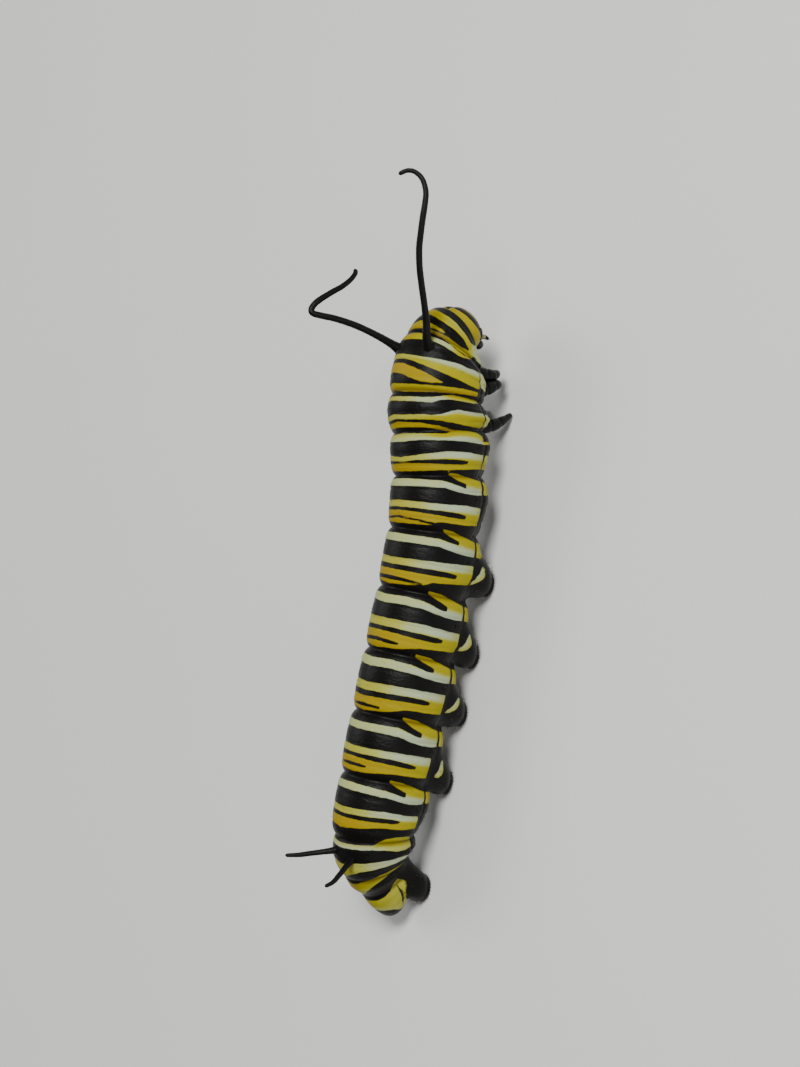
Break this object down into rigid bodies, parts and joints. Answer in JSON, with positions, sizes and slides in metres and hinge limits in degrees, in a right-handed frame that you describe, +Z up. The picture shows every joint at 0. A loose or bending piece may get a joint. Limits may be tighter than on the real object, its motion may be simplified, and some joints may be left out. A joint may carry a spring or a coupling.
{
  "type": "monarch larva",
  "caption": "Life-size monarch larva standing on its prolegs, ringed in black, white and yellow, with long black filaments behind the head and short ones near the tail.",
  "frame": {"origin": "on the floor under the middle of the animal's bounding box", "axes": "+Z up from the floor, the head faces -Y and the tail +Y, the animal's right side is towards -X"},
  "size_m": [0.0098, 0.0496, 0.0139],
  "materials": {
    "striped_skin": "smooth, faintly waxy skin",
    "black_skin": "soft satin black skin",
    "black_shell": "glossy black cuticle",
    "head_shell": "glossy black cuticle with yellow bands"
  },
  "bodies": {
    "root": {"head": "head_shell", "antenna_left": "black_shell", "antenna_right": "black_shell", "prothorax": "striped_skin", "mesothorax": "striped_skin", "metathorax": "striped_skin", "abdomen_1": "striped_skin", "abdomen_2": "striped_skin", "abdomen_3": "striped_skin", "abdomen_4": "striped_skin", "abdomen_5": "striped_skin", "abdomen_6": "striped_skin", "abdomen_7": "striped_skin", "abdomen_8": "striped_skin", "abdomen_9": "striped_skin", "anal_segment": "striped_skin", "leg_front_left": "black_shell", "leg_front_right": "black_shell", "leg_middle_left": "black_shell", "leg_middle_right": "black_shell", "leg_rear_left": "black_shell", "leg_rear_right": "black_shell", "proleg_1_left": "black_skin", "proleg_1_right": "black_skin", "proleg_2_left": "black_skin", "proleg_2_right": "black_skin", "proleg_3_left": "black_skin", "proleg_3_right": "black_skin", "proleg_4_left": "black_skin", "proleg_4_right": "black_skin", "anal_proleg_left": "black_skin", "anal_proleg_right": "black_skin", "front_filament_left_base": "black_skin", "front_filament_left_elbow": "black_skin", "front_filament_left_tip": "black_skin", "front_filament_right_base": "black_skin", "front_filament_right_tip": "black_skin", "rear_filament_left": "black_skin", "rear_filament_right": "black_skin"}
  },
  "joints": []
}
